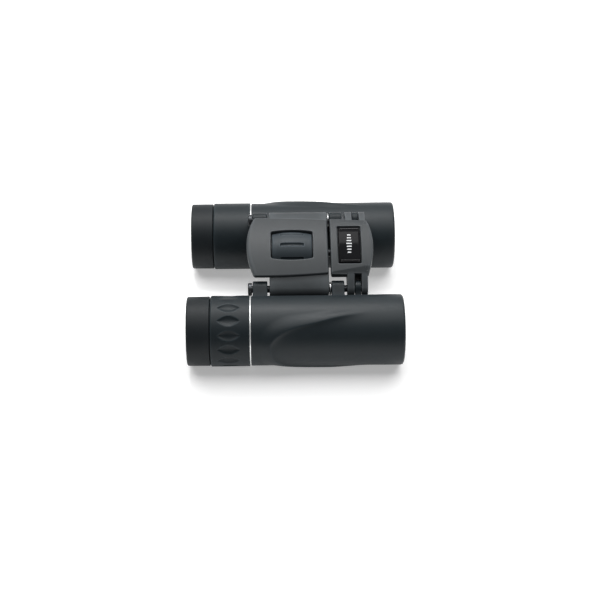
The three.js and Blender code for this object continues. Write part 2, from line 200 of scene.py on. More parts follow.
# ---------------------------------------------------------------- outlines
def smooth(value, low, high):
    """0 below low, 1 above high, easing between."""
    share = np.clip((value - low) / (high - low), 0, 1)
    return share * share * (3 - 2 * share)


def rounded(corners, steps=6):
    """A closed outline from (a, b, radius) corners, each turned on an arc of that radius."""
    outline = []
    for i, (a, b, radius) in enumerate(corners):
        here = Vector((a, b))
        before = Vector(corners[i - 1][:2]) - here
        after = Vector(corners[(i + 1) % len(corners)][:2]) - here
        half = before.angle(after) / 2
        if radius == 0:
            outline.append((a, b))
            continue
        reach = min(radius / math.tan(half), 0.49 * before.length, 0.49 * after.length)
        arc_r = reach * math.tan(half)
        centre = here + (before.normalized() + after.normalized()).normalized() * arc_r / math.sin(half)
        start = (here + before.normalized() * reach - centre).normalized()
        end = (here + after.normalized() * reach - centre).normalized()
        outline += [tuple(centre + start.slerp(end, k / steps) * arc_r) for k in range(steps + 1)]
    return outline


def divided(outline, longest):
    """The same closed outline with no side longer than a length."""
    points = []
    for (a, b), (c, d) in zip(outline, outline[1:] + outline[:1]):
        parts = max(1, math.ceil(math.hypot(c - a, d - b) / longest))
        points += [(a + (c - a) * k / parts, b + (d - b) * k / parts) for k in range(parts)]
    return points


def plan_loop(corners, controls, radius, side_steps=28, corner_steps=8):
    """A plan outline of bowed sides, each a curve through its control, with rounded corners."""
    corners = [np.array(c, float) for c in corners]
    curve = lambda a, c, b, t: (1 - t) ** 2 * a + 2 * t * (1 - t) * c + t * t * b
    count = len(corners)
    sides = []
    for i in range(count):
        a, b, control = corners[i], corners[(i + 1) % count], np.array(controls[i], float)
        trim = radius / np.linalg.norm(b - a)
        sides.append([curve(a, control, b, t) for t in np.linspace(trim, 1 - trim, side_steps)])
    points = []
    for i in range(count):
        points += sides[i]
        start, end = sides[i][-1], sides[(i + 1) % count][0]
        turn = np.linspace(0, 1, corner_steps + 2)[1:-1]
        points += [curve(start, corners[(i + 1) % count], end, t) for t in turn]
    return np.array(points)


def bowed_loop(span, halves, side, ends, radius, side_steps=28):
    """A plan outline that mirrors about the centre line and whose sides may be bowed.
    halves are the half widths at the ends, side a long side's control and ends the X of the ends' controls."""
    (x0, x1), (half_0, half_1) = span, halves
    corners = [(x0, -half_0), (x1, -half_1), (x1, half_1), (x0, half_0)]
    controls = [(side[0], -side[1]), (ends[1], 0), side, (ends[0], 0)]
    return plan_loop(corners, controls, radius, side_steps)


def box_loop(span, low_y, high_y, radius, side_steps=28, corner_steps=8):
    """A plan outline with straight sides and rounded corners."""
    x0, x1 = span
    mid_x, mid_y = (x0 + x1) / 2, (low_y + high_y) / 2
    corners = [(x0, low_y), (x1, low_y), (x1, high_y), (x0, high_y)]
    controls = [(mid_x, low_y), (x1, mid_y), (mid_x, high_y), (x0, mid_y)]
    return plan_loop(corners, controls, radius, side_steps, corner_steps)


def inset(points, distance):
    """A closed outline moved inwards; the distance may differ from point to point."""
    along = np.roll(points, -1, 0) - np.roll(points, 1, 0)
    inward = np.stack((-along[:, 1], along[:, 0]), 1) / np.linalg.norm(along, axis=1, keepdims=True)
    a, b = points.T
    turning = np.sign(np.sum(a * np.roll(b, -1) - b * np.roll(a, -1)))
    return points + inward * turning * np.reshape(distance, (-1, 1))


# ---------------------------------------------------------------- meshes
SHARP = math.radians(38)
WELD = 1e-4


def grid(points, close_rows=True):
    """Points and quads of a grid whose every row is a loop; close_rows joins the last row to the first."""
    rows, columns = points.shape[:2]
    numbers = np.arange(rows * columns).reshape(rows, columns)
    if close_rows:
        numbers = np.vstack((numbers, numbers[:1]))
    numbers = np.hstack((numbers, numbers[:, :1]))
    quads = np.stack((numbers[:-1, :-1], numbers[:-1, 1:], numbers[1:, 1:], numbers[1:, :-1]), -1)
    return points.reshape(-1, 3), quads.reshape(-1, 4).tolist()


def add_piece(name, shape, place, body, look, *nodes):
    """Makes a piece from (points, faces) and ties it to its body, its finish and the CAD nodes it shows.
    Points that meet, as on an axis, are welded, and the edges and points that this leaves bare go."""
    mesh = bpy.data.meshes.new(name)
    mesh.from_pydata(shape[0], [], shape[1])
    solid = bmesh.new()
    solid.from_mesh(mesh)
    bmesh.ops.remove_doubles(solid, verts=solid.verts, dist=WELD)
    bmesh.ops.delete(solid, geom=[e for e in solid.edges if not e.link_faces], context="EDGES")
    bmesh.ops.delete(solid, geom=[v for v in solid.verts if not v.link_faces], context="VERTS")
    bmesh.ops.recalc_face_normals(solid, faces=solid.faces)
    solid.to_mesh(mesh)
    solid.free()
    mesh.transform(place)
    mesh.shade_smooth()
    mesh.set_sharp_from_angle(angle=SHARP)
    made = bpy.data.objects.new(name, mesh)
    bpy.context.scene.collection.objects.link(made)
    mesh.materials.append(MATERIALS[look])
    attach(made, body)
    if nodes:
        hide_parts(*nodes)
    return made


def turned(outline, centre=(0, 0), steps=128, carve=None):
    """A closed (x, radius) outline turned about the X axis; carve(x, radius, angle) sinks its skin."""
    path = np.array(outline)
    angle = np.linspace(0, FULL_TURN, steps, endpoint=False)[None, :]
    x = np.repeat(path[:, :1], steps, 1)
    radius = np.repeat(path[:, 1:], steps, 1)
    if carve:
        radius = radius - carve(x, radius, angle)
    return grid(np.stack((x, centre[0] + radius * np.sin(angle), centre[1] + radius * np.cos(angle)), -1))


def tube_outline(x0, x1, inner, outer, edge=0.25):
    """The (x, radius) outline of a plain ring with rounded edges."""
    return rounded([(x0, inner, edge / 2), (x0, outer, edge), (x1, outer, edge), (x1, inner, edge / 2)])


def bored_bar(section, centre, bore, span, edge=0.3, stations=8):
    """A bar along X whose section(x) may change along it, with rounded ends and a round bore."""

    def at(x, sunk=0.0):
        outline = inset(np.array(section(x)), sunk)
        return np.column_stack((np.full(len(outline), x), outline))

    def bore_at(x):
        outline = np.array(section(x)) - centre
        around = outline / np.linalg.norm(outline, axis=1, keepdims=True) * bore + centre
        return np.column_stack((np.full(len(outline), x), around))

    x0, x1 = span
    arc = np.linspace(0, math.pi / 2, 5)
    rows = [bore_at(x0)]
    rows += [at(x0 + edge * (1 - math.cos(a)), edge * (1 - math.sin(a))) for a in arc]
    rows += [at(x) for x in np.linspace(x0 + edge, x1 - edge, stations)[1:-1]]
    rows += [at(x1 - edge * (1 - math.cos(a)), edge * (1 - math.sin(a))) for a in arc[::-1]]
    rows.append(bore_at(x1))
    return grid(np.array(rows))


def plate(outer, inner, height, edge, under, skirt, wall=1.2, lip=0.35, skirt_edge=0.15):
    """A crowned lid round an opening: opening wall, lip, top, rounded outer edge, skirt and underside.
    edge is the rounded edge's (width, drop), each a number or one value for each point of the outline."""
    width, drop = (np.broadcast_to(value, len(outer)) for value in edge)
    arc = np.linspace(0, math.pi / 2, 6)
    rows = []

    def level(loop, z):
        rows.append(np.column_stack((loop, np.broadcast_to(z, len(loop)))))

    top = lambda loop: height(*loop.T)
    level(inner, under)
    inner_top, outer_top = inset(inner, -lip), inset(outer, width)
    for a in arc:
        level(inset(inner, -lip * (1 - math.cos(a))), top(inner_top) - lip * (1 - math.sin(a)))
    for share in np.linspace(0, 1, 16)[1:]:
        between = inner_top + share * (outer_top - inner_top)
        level(between, top(between))
    for a in arc[1:]:
        level(inset(outer, width * (1 - math.sin(a))), top(outer_top) - drop * (1 - math.cos(a)))
    level(outer, skirt + skirt_edge)
    level(inset(outer, skirt_edge), skirt)
    level(inset(outer, wall), skirt)
    level(inset(outer, wall), under)
    return grid(np.array(rows))


def dome(loop, height, edge, bottom):
    """A solid pad over a plan outline, with a rounded upper edge."""
    middle = loop.mean(0)
    arc = np.linspace(0, math.pi / 2, 5)
    top_loop = inset(loop, edge)
    floor = np.full(len(loop), bottom)
    rows = [np.column_stack((middle + share * (loop - middle), floor)) for share in (0, 0.5, 1)]
    for a in arc[::-1]:
        sunk = inset(loop, edge * (1 - math.sin(a)))
        rows.append(np.column_stack((sunk, height(*top_loop.T) - edge * (1 - math.cos(a)))))
    for share in np.linspace(1, 0, 8)[1:]:
        between = middle + share * (top_loop - middle)
        rows.append(np.column_stack((between, height(*between.T))))
    return grid(np.array(rows), close_rows=False)


# ---------------------------------------------------------------- materials
def node(tree, kind, inputs, **settings):
    """Adds a shader node: settings are its properties, inputs are values or sockets to link."""
    made = tree.nodes.new(kind)
    for key, value in settings.items():
        setattr(made, key, value)
    for key, value in inputs.items():
        if isinstance(value, bpy.types.NodeSocket):
            tree.links.new(value, made.inputs[key])
        else:
            made.inputs[key].default_value = value
    return made


def scaled(tree, value, low, high):
    """A 0 to 1 value spread from low to high."""
    return node(tree, "ShaderNodeMapRange", {"Value": value, "To Min": low, "To Max": high}).outputs[0]


def mixed(tree, factor, first, second):
    """Mixes two colours; the colour sockets of the Mix node are its seventh and eighth."""
    mix = tree.nodes.new("ShaderNodeMix")
    mix.data_type = "RGBA"
    for socket, value in ((mix.inputs[0], factor), (mix.inputs[6], first), (mix.inputs[7], second)):
        if isinstance(value, bpy.types.NodeSocket):
            tree.links.new(value, socket)
        else:
            socket.default_value = value
    return mix.outputs[2]


def surface(name, colour, roughness, grain=0.25, relief=0.02, mottle=0.12, wear=0.0, stretch=(1, 1, 1),
            rough_spread=0.08, **constants):
    """A moulded, painted or machined surface: fine grain, broad mottling, uneven gloss and lightened edges,
    partly rubbed wear and partly painted highlight.
    grain is the size and relief the height of the fine texture, both in millimetres."""
    material = bpy.data.materials.new(name)
    material.use_nodes = True
    tree = material.node_tree
    shader = tree.nodes["Principled BSDF"]
    place = node(tree, "ShaderNodeTexCoord", {}).outputs["Object"]
    drawn = node(tree, "ShaderNodeMapping", {"Vector": place, "Scale": stretch}).outputs[0]
    fine = node(tree, "ShaderNodeTexNoise", {"Vector": drawn, "Scale": 1 / (grain * MM), "Detail": 4}).outputs[0]
    broad = node(tree, "ShaderNodeTexNoise", {"Vector": place, "Scale": 90, "Detail": 5}).outputs[0]

    def shade(factor):
        return *[channel * factor for channel in colour], 1

    base = mixed(tree, scaled(tree, broad, -0.4, 1.4), shade(1 - mottle), shade(1 + mottle))
    # Convex edges, found by pointiness, are lightened: partly rubbed wear, partly a painted highlight where the
    # edges catch the light.
    if wear:
        crest = node(tree, "ShaderNodeNewGeometry", {}).outputs["Pointiness"]
        worn_and_lit_edges = node(tree, "ShaderNodeMapRange",
                      {"Value": crest, "From Min": 0.504, "From Max": 0.53, "To Max": wear})
        uneven = node(tree, "ShaderNodeMath", {0: worn_and_lit_edges.outputs[0], 1: scaled(tree, broad, 0.3, 1.2)},
                      operation="MULTIPLY")
        base = mixed(tree, uneven.outputs[0], base, shade(2.6))
    fine_gloss = scaled(tree, fine, -rough_spread, rough_spread)
    broad_gloss = scaled(tree, broad, roughness - 0.04, roughness + 0.04)
    gloss = node(tree, "ShaderNodeMath", {0: fine_gloss, 1: broad_gloss}, operation="ADD")
    bump = node(tree, "ShaderNodeBump", {"Height": fine, "Strength": 1.0, "Distance": relief * MM})
    tree.links.new(base, shader.inputs["Base Color"])
    tree.links.new(gloss.outputs[0], shader.inputs["Roughness"])
    tree.links.new(bump.outputs[0], shader.inputs["Normal"])
    for key, value in constants.items():
        shader.inputs[key.replace("_", " ")].default_value = value
    return material


def lens_glass(name, tint, film):
    """Polished glass, faintly dusty, with a coating film some nanometres thick."""
    material = bpy.data.materials.new(name)
    material.use_nodes = True
    tree = material.node_tree
    shader = tree.nodes["Principled BSDF"]
    place = node(tree, "ShaderNodeTexCoord", {}).outputs["Object"]
    dust = node(tree, "ShaderNodeTexNoise", {"Vector": place, "Scale": 2500, "Detail": 3}).outputs[0]
    tree.links.new(scaled(tree, dust, 0.0, 0.04), shader.inputs["Roughness"])
    constants = {"Base Color": (*tint, 1), "Transmission Weight": 1, "IOR": 1.52, "Thin Film Thickness": film,
                 "Thin Film IOR": 1.9}
    for key, value in constants.items():
        shader.inputs[key].default_value = value
    return material


POLISHED = {"grain": 0.8, "relief": 0.001, "mottle": 0.3, "rough_spread": 0.03}
TURNED = {"grain": 0.06, "relief": 0.004, "Metallic": 1.0, "stretch": (6, 1, 1)}
# Each finish's edge value lightens its convex edges, partly as rubbed wear and partly as painted highlight.
MATERIALS = {
    "armour": surface("soft_skin", (0.0105, 0.016, 0.0193), 0.46, grain=0.22, relief=0.012, wear=0.3,
                      Specular_IOR_Level=0.27),
    "eyecup": surface("cup_rubber", (0.0085, 0.0115, 0.0135), 0.52, grain=0.3, relief=0.015, wear=0.25,
                      Specular_IOR_Level=0.2),
    "ring": surface("ring_moulding", (0.0095, 0.0145, 0.0175), 0.47, grain=0.2, relief=0.012, wear=0.6,
                    Specular_IOR_Level=0.22),
    "shell": surface("shell_moulding", (0.010, 0.014, 0.0165), 0.45, grain=0.3, relief=0.015, wear=0.4,
                     Specular_IOR_Level=0.18),
    "deck": surface("satin_paint", (0.037, 0.0415, 0.0445), 0.42, grain=0.16, relief=0.008, wear=0.7,
                    Specular_IOR_Level=0.2),
    "wheel": surface("wheel_rubber", (0.027, 0.035, 0.041), 0.48, grain=0.2, relief=0.012, wear=0.6,
                     Specular_IOR_Level=0.25),
    "chrome": surface("bright_plate", (0.86, 0.87, 0.87), 0.16, grain=0.1, relief=0.001, mottle=0.03,
                      rough_spread=0.05, Metallic=0.5),
    "steel": surface("turned_steel", (0.48, 0.49, 0.5), 0.3, mottle=0.08, **TURNED),
    "blued": surface("blued_steel", (0.035, 0.038, 0.042), 0.3, grain=0.06, relief=0.003, mottle=0.15,
                     Metallic=0.6),
    "brass": surface("turned_brass", (0.62, 0.45, 0.19), 0.3, mottle=0.12, **TURNED),
    "black": surface("matt_black", (0.009, 0.009, 0.010), 0.62, grain=0.12, relief=0.02),
    "badge": surface("polished_black", (0.005, 0.005, 0.006), 0.1, Specular_IOR_Level=0.03, **POLISHED),
    "badge_edge": surface("polished_edge", (0.012, 0.012, 0.013), 0.12, Specular_IOR_Level=1.0, **POLISHED),
    "glass": lens_glass("clear_glass", (0.96, 0.98, 0.98), 0),
    "coated": lens_glass("coated_glass", (0.95, 0.93, 0.98), 330),
}
MARK = surface("mark_paint", (0.55, 0.56, 0.57), 0.4, grain=0.1, relief=0.004, mottle=0.1)


# ---------------------------------------------------------------- bridge
def crown(y):
    """Height of the arched top shared by the cover and the slide."""
    edge_y, edge_z = CROWN_EDGE
    sag = CROWN_Z - edge_z
    radius = (edge_y ** 2 + sag ** 2) / (2 * sag)
    return CROWN_Z - radius + np.sqrt(radius ** 2 - y ** 2)


def knuckle_arc(start, end, steps=26):
    """Points round a hinge knuckle, from one angle to another in degrees, the pin at y = PIN_Y."""
    turn = np.radians(np.linspace(start, end, steps))
    return [(PIN_Y + KNUCKLE_R * math.cos(a), KNUCKLE_R * math.sin(a)) for a in turn]


def bridge_section(side, top, turn, under_y):
    """Section of one side: along its top, round the hinge knuckle, in along the floor and up the inner face."""
    inner_y, inner_z = top[0]
    under = [(y, FLOOR_Z) for y in (*under_y, inner_y)]
    face = [(inner_y, FLOOR_Z + (inner_z - FLOOR_Z) * k / 4) for k in range(1, 4)]
    return [(side * y, z) for y, z in top + knuckle_arc(*turn) + under + face]


def box_section(y0, y1, z0, z1, edge=0.4):
    """A rectangular section with rounded corners, divided finely enough to be bored."""
    return divided(rounded([(y0, z0, edge), (y1, z0, edge), (y1, z1, edge), (y0, z1, edge)]), 1.0)


def make_rail(word):
    """One long side of the bridge, which rolls from the deck over its hinge knuckle."""
    side = SIDES[word]
    top = [(WELL_Y + (SHOULDER_Y - WELL_Y) * k / 6, DECK_Z) for k in range(7)]
    section = bridge_section(side, top, ROLL_TURN, UNDER_Y)
    shape = bored_bar(lambda x: section, (side * PIN_Y, 0), PIN_BORE_R, RAIL_X, edge=0.45)
    add_piece(f"{word}_bridge_rail", shape, BRIDGE, "bridge", "deck", "bridge_base")


def make_block(name, span, half):
    """A block across the bridge that carries a screw bush."""
    section = box_section(-half, half, FLOOR_Z, DECK_Z)
    shape = bored_bar(lambda x: section, (0, SCREW_UP), BUSH_BORE_R, span, edge=0.3)
    add_piece(name, shape, BRIDGE, "bridge", "shell", "bridge_base")


def make_cover():
    """The arched cover with the wheel's window; its rear edge rolls off further, and most so on the right."""
    window = bowed_loop(WINDOW_X, (WINDOW_HALF, WINDOW_HALF), (sum(WINDOW_X) / 2, WINDOW_BOW_Y), WINDOW_X, 0.9)
    outer = bowed_loop(COVER_X, COVER_HALF, COVER_BOW, (COVER_REAR_X, COVER_X[1]), 0.9)
    x, y = outer.T
    rear, right = smooth(-x, 16.4, 18.0), smooth(-y, -6, 15)
    edge = (0.7 + rear * (0.55 + 0.5 * right), 0.7 + rear * (0.35 + 0.35 * right))
    shape = plate(outer, window, lambda x, y: crown(y), edge, under=5.7, skirt=4.8)
    add_piece("bridge_cover_lid", shape, BRIDGE, "bridge", "deck", "bridge_cover")


def make_pin(word):
    """A hinge pin with a domed and countersunk head at the eyecup end."""
    x0, x1, _, head = round_size(f"{word}_hinge_pin", local_frame(PINS[word], BRIDGE_UP))
    neck, dip = x0 + 1.8, x0 + 0.7
    outline = rounded([(dip, 0, 0), (dip, 1.0, 0.1), (x0, 1.2, 0.1), (x0, head, 0.6), (neck, head, 0.15),
                       (neck, PIN_R, 0), (x1, PIN_R, 0.4), (x1, 0, 0)])
    shape = turned(outline, (SIDES[word] * PIN_Y, 0), steps=64)
    add_piece(f"{word}_pin", shape, BRIDGE, "bridge", "blued", f"{word}_hinge_pin")


def make_collar(name, cad, place, body, look, centre=(0, 0), steps=128):
    """A plain ring, turned anew with rounded edges, in place of a CAD node."""
    about = place @ Matrix.Translation((0, *centre))
    x0, x1, inner, outer = round_size(cad, about)
    shape = turned(tube_outline(x0, x1, inner, outer, edge=0.2), centre, steps)
    add_piece(name, shape, place, body, look, cad)


def make_bridge():
    """Both sides with their pins and washers, the two bush blocks with their bushes, and the cover."""
    for word, side in SIDES.items():
        make_rail(word)
        make_pin(word)
        centre = (side * PIN_Y, 0)
        make_collar(f"{word}_washer", f"{word}_hinge_washer", BRIDGE, "bridge", "steel", centre, steps=48)
    make_block("rear_bush_block", (REAR_BLOCK_X, RAIL_X[0] + GAP), REAR_BLOCK_HALF)
    make_block("front_bush_block", (FRONT_BLOCK_X, RAIL_X[1]), WELL_Y + 0.1)
    make_cover()
    make_collar("rear_bush", "rear_screw_bush", WHEEL, "bridge", "brass", steps=48)
    make_collar("front_bush", "front_screw_bush", WHEEL, "bridge", "brass", steps=48)


# ---------------------------------------------------------------- focus wheel
def wheel_grooves(x, radius, angle):
    """Depth of the finger grooves along the wheel, each a half-round channel with round ends."""
    x0, x1, _, outer = round_size("focus_wheel_grip", WHEEL)
    half_length, half_width, depth = GROOVE_SIZE
    pitch = FULL_TURN / GROOVES
    around = (angle + GROOVE_PHASE + pitch / 2) % pitch - pitch / 2
    beyond = np.maximum(np.abs(x - (x0 + x1) / 2) - (half_length - half_width), 0)
    away = np.hypot(beyond, around * outer)
    sunk = depth * np.sqrt(np.maximum(1 - (away / half_width) ** 2, 0))
    return np.where(radius > outer - WHEEL_BELLY - 0.2, sunk, 0)


def make_wheel():
    """The bellied, grooved rubber of the focus wheel on its core."""
    x0, x1, inner, outer = round_size("focus_wheel_grip", WHEEL)
    outer -= 0.02  # keeps the finer turning inside the CAD's size
    end_r = outer - WHEEL_BELLY
    middle = (x0 + x1) / 2
    curve = [(x, outer - (outer - end_r) * ((x - middle) / (x1 - middle)) ** 2) for x in np.linspace(x0, x1, 61)]
    cut = 8  # how many points of the curve the rounded end takes up
    left = rounded([(x0, inner, 0.2), (*curve[0], 0.8), (*curve[cut], 0)])[:-1]
    right = [(x0 + x1 - x, r) for x, r in reversed(left)]
    shape = turned(left + curve[cut:-cut] + right, steps=360, carve=wheel_grooves)
    add_piece("focus_wheel_rubber", shape, WHEEL, "focus_wheel", "wheel", "focus_wheel_grip")
    hub = tube_outline(x0 - 0.55, x1 + 0.55, WHEEL_BORE_R, WHEEL_HUB_R, edge=0.3)
    add_piece("focus_wheel_core", turned(hub), WHEEL, "focus_wheel", "black", "focus_wheel_hub")


# ---------------------------------------------------------------- focus slide
def crease(x):
    """Half width of the arched part of the slide's top, which narrows towards the objectives."""
    return np.interp(x, SLIDE_X, CREASE_Y)


def fall_angle(x):
    """Downward angle of the flat that leaves the crease and meets the knuckle as a tangent."""
    across, height = PIN_Y - crease(x), crown(crease(x))
    return np.arctan2(height, across) - np.arcsin(KNUCKLE_R / np.hypot(across, height))


def slide_top(x, y):
    """The arch, then a flat fall from the crease towards the hinge ears."""
    edge = np.minimum(crease(x), np.abs(y))
    return crown(edge) - np.tan(fall_angle(x)) * (np.abs(y) - edge)


def ear_section(side, x):
    """Section of an ear, whose top starts just under the slide's lid."""
    edge_y = float(crease(x))
    edge_z = float(crown(edge_y)) - 0.03
    top = [(edge_y - 1.5, edge_z - 0.6), (edge_y - 0.6, edge_z - 0.15), (edge_y, edge_z)]
    turn = (90 - math.degrees(fall_angle(x)), ROLL_TURN[1])
    return bridge_section(side, top, turn, (*UNDER_Y, WEB_Y[0]))


def make_ears(word):
    """The two hinge ears on one side, in front of and behind the focus arm, and the web between them, matt black
    partly as an unpainted inside and partly as painted shade in the cavity behind the arm.
    """
    side = SIDES[word]
    for part, span in (("rear", (EARS[0], ARM_SLOT[0])), ("front", (ARM_SLOT[1], EARS[1]))):
        shape = bored_bar(lambda x: ear_section(side, x), (side * PIN_Y, 0), PIN_BORE_R, span, edge=0.3)
        add_piece(f"{word}_ear_{part}", shape, BRIDGE, "focus_slide", "deck", "focus_slide")
    # The web is matt black: partly an unpainted inside, partly painted shade for the shadowed cavity behind the
    # focus arm.
    web = box_section(side * WEB_Y[0], side * WEB_Y[1], FLOOR_Z, 5.2, edge=0.2)
    span = (EARS[0] + GAP, EARS[1] - GAP)
    shape = bored_bar(lambda x: web, (side * sum(WEB_Y) / 2, 1), 0.5, span, edge=0.2)
    add_piece(f"{word}_ear_web", shape, BRIDGE, "focus_slide", "black", "focus_slide")


def badge_loop(grow=0.0, side_steps=28):
    """The badge's plan outline, or that of its opening when it is grown."""
    low, high = local_box("slide_badge", BRIDGE)
    half = high[1] + grow
    return box_loop((low[0] - grow, high[0] + grow), -half, half, 0.7, side_steps)


def badge_top(x, y):
    """Height of the badge, which stands on the crown and rolls down along its two long sides."""
    half = badge_loop()[:, 1].max()
    return crown(y) + 0.12 - 0.55 * smooth(np.abs(y), half - 1.5, half)


def make_badge():
    """A polished plate with a bright line near each long side and a generic mark of seven bars."""
    shape = dome(badge_loop(), badge_top, edge=0.45, bottom=6.6)
    add_piece("badge_plate", shape, BRIDGE, "focus_slide", "badge", "slide_badge")
    half = badge_loop()[:, 1].max()
    x0, x1 = BADGE_EDGE_X
    for word, side in SIDES.items():
        low_y, high_y = sorted(side * (half - inside) for inside in BADGE_EDGE_IN)
        loop = plan_loop([(x0, low_y), (x1, low_y), (x1, high_y), (x0, high_y)],
                         [(BADGE_X, low_y), (x1, side * half), (BADGE_X, high_y), (x0, side * half)], 0.2, 12, 3)
        shape = dome(loop, lambda x, y: badge_top(x, y) + 0.03, 0.05, 7.0)
        edge = add_piece(f"{word}_badge_edge", shape, BRIDGE, "focus_slide", "badge")
        edge.data.materials[0] = MATERIALS["badge_edge"]
    for i in range(7):
        y = (i - 3) * BAR_PITCH
        reach = 1.2 - 0.1 * abs(y)
        loop = box_loop((BADGE_X - reach, BADGE_X + reach), y - BAR_HALF, y + BAR_HALF, 0.12, 5, 3)
        shape = dome(loop, lambda x, y: crown(y) + 0.16, 0.04, 7.0)
        mark = add_piece(f"badge_bar_{i + 1}", shape, BRIDGE, "focus_slide", "badge")
        mark.data.materials[0] = MARK


def make_slide():
    """The slide: its lid round the badge, the core on the screw, the front wall, the ears and the nut."""
    middle = (sum(SLIDE_X) / 2, SLIDE_HALF)
    outer = bowed_loop(SLIDE_X, (SLIDE_HALF, SLIDE_HALF), middle, (SLIDE_X[0], SLIDE_BOW_X), 0.8, side_steps=70)
    beside = (outer[:, 0] > EARS[0]) & (np.abs(outer[:, 1]) > EAR_Y)
    outer[beside, 1] = np.sign(outer[beside, 1]) * EAR_Y
    front = smooth(outer[:, 0], 31.0, 32.6)
    edge = (0.5 + 0.6 * front, 0.5 + 0.3 * front)
    shape = plate(outer, badge_loop(0.35, 70), slide_top, edge, under=6.3, skirt=3.6)
    add_piece("slide_lid", shape, BRIDGE, "focus_slide", "deck", "focus_slide")
    core = box_section(*CORE_BOX)
    span = (SLIDE_X[0] + 0.1, SLIDE_X[1] - GAP)
    shape = bored_bar(lambda x: core, (0, SCREW_UP), CORE_BORE_R, span, edge=0.3)
    add_piece("slide_core", shape, BRIDGE, "focus_slide", "shell", "focus_slide")
    wall = box_loop(WALL_X, -WALL_HALF, WALL_HALF, 0.2)
    shape = dome(wall, lambda x, y: np.full_like(x, 6.0), 0.3, CORE_BOX[2])
    add_piece("slide_front_wall", shape, BRIDGE, "focus_slide", "shell", "focus_slide")
    for word in SIDES:
        make_ears(word)
    make_badge()
    make_collar("nut_sleeve", "focus_nut", WHEEL, "focus_slide", "brass", steps=48)


# ---------------------------------------------------------------- barrels
SWOOSH = [(36, 76), (21, 68.5), (9, 57.5), (-3, 46), (-9.5, 29), (-10.6, 13), (-8, -12), (-3, -27), (6, -37),
          (20, -43), (36, -45)]  # crest of the palm relief: (x, degrees above the horizontal on the outer side)
RELIEF = 1.02  # height of the crest


def crest_line(points, parts=14):
    """A smooth curve through points."""
    points = np.array([points[0], *points, points[-1]], float)
    curve = []
    for p0, p1, p2, p3 in zip(points, points[1:], points[2:], points[3:]):
        for t in np.linspace(0, 1, parts, endpoint=False):
            curve.append(0.5 * (2 * p1 + (p2 - p0) * t + (2 * p0 - 5 * p1 + 4 * p2 - p3) * t ** 2
                                + (3 * p1 - p0 - 3 * p2 + p3) * t ** 3))
    return np.array([*curve, points[-1]])


def palm_relief(x, degrees):
    """Height of the swept relief: a soft ramp up to a crisp crest, then a shallow hollow inside it."""
    arc_length = math.radians(1) * SKIN_R
    line = crest_line(SWOOSH) * (1, arc_length)
    spot = np.stack((x, degrees * arc_length), -1).reshape(-1, 2)
    start, end = line[:-1], line[1:]
    along = end - start
    nearest = np.full(len(spot), 1e9)
    inside = np.zeros(len(spot), bool)
    for a, b, way in zip(start, end, along):
        share = np.clip(((spot - a) @ way) / (way @ way), 0, 1)
        nearest = np.minimum(nearest, np.linalg.norm(spot - a - share[:, None] * way, axis=1))
    past_end = 60
    closed = np.vstack((line, [(past_end, line[-1][1]), (past_end, line[0][1])]))
    for a, b in zip(closed, np.roll(closed, -1, 0)):
        crosses = (a[1] > spot[:, 1]) != (b[1] > spot[:, 1])
        with np.errstate(divide="ignore", invalid="ignore"):
            at = a[0] + (spot[:, 1] - a[1]) / (b[1] - a[1]) * (b[0] - a[0])
        inside ^= crosses & (spot[:, 0] < at)
    nearest, inside = nearest.reshape(x.shape), inside.reshape(x.shape)
    ramp = np.interp(x, [-5, 25], [6.5, 3.2])
    outside_rise = smooth(-nearest, -ramp, 0)
    hollow = 1 - 0.95 * (1 - np.exp(-nearest / 1.3))
    fade = (1 - smooth(x, 13, 33)) * smooth(degrees, -84, -52)
    return RELIEF * np.where(inside, hollow, outside_rise) * fade


def thinned(values, least):
    """Sorted values without those that follow another too closely."""
    values = np.unique(values)
    return values[np.concatenate(([True], np.diff(values) > least))]


def skin_path():
    """(x, radius) rows of the armour's outer skin and, row for row, of its inner face."""
    edge = 0.25
    (_, rear_end), (front_start, front_end) = KNUCKLE_OPENINGS
    regular = np.arange(SHELL_START + edge, 43.2, 0.32)
    stations = np.concatenate((regular, [rear_end, front_end], [front_start], ARM_OPENING))
    stations = thinned(np.round(stations, 3), 0.05)
    radius = np.interp(stations, FLARE_X, [SKIN_R, RIM_R])
    start = [(SHELL_START + edge * (1 - math.sin(a)), SKIN_R - edge * (1 - math.cos(a)))
             for a in np.linspace(math.pi / 2, 0.15, 5)]
    lip = [(SHELL_END - LIP_R * (1 - math.sin(a)), RIM_R - LIP_R * 0.85 * (1 - math.cos(a)))
           for a in np.linspace(0, math.pi / 2, 12)]
    outer = np.array(start + list(zip(stations, radius)) + lip)
    inner_x = np.clip(outer[:, 0], SHELL_START, LINING_END)
    inner_r = np.full(len(outer), LINING_R)
    tail = len(lip)
    inner_x[-tail:] = np.linspace(LINING_END, SHELL_END - GAP, tail)
    inner_r[-tail:] = HOOD_R
    return outer, np.column_stack((inner_x, inner_r))


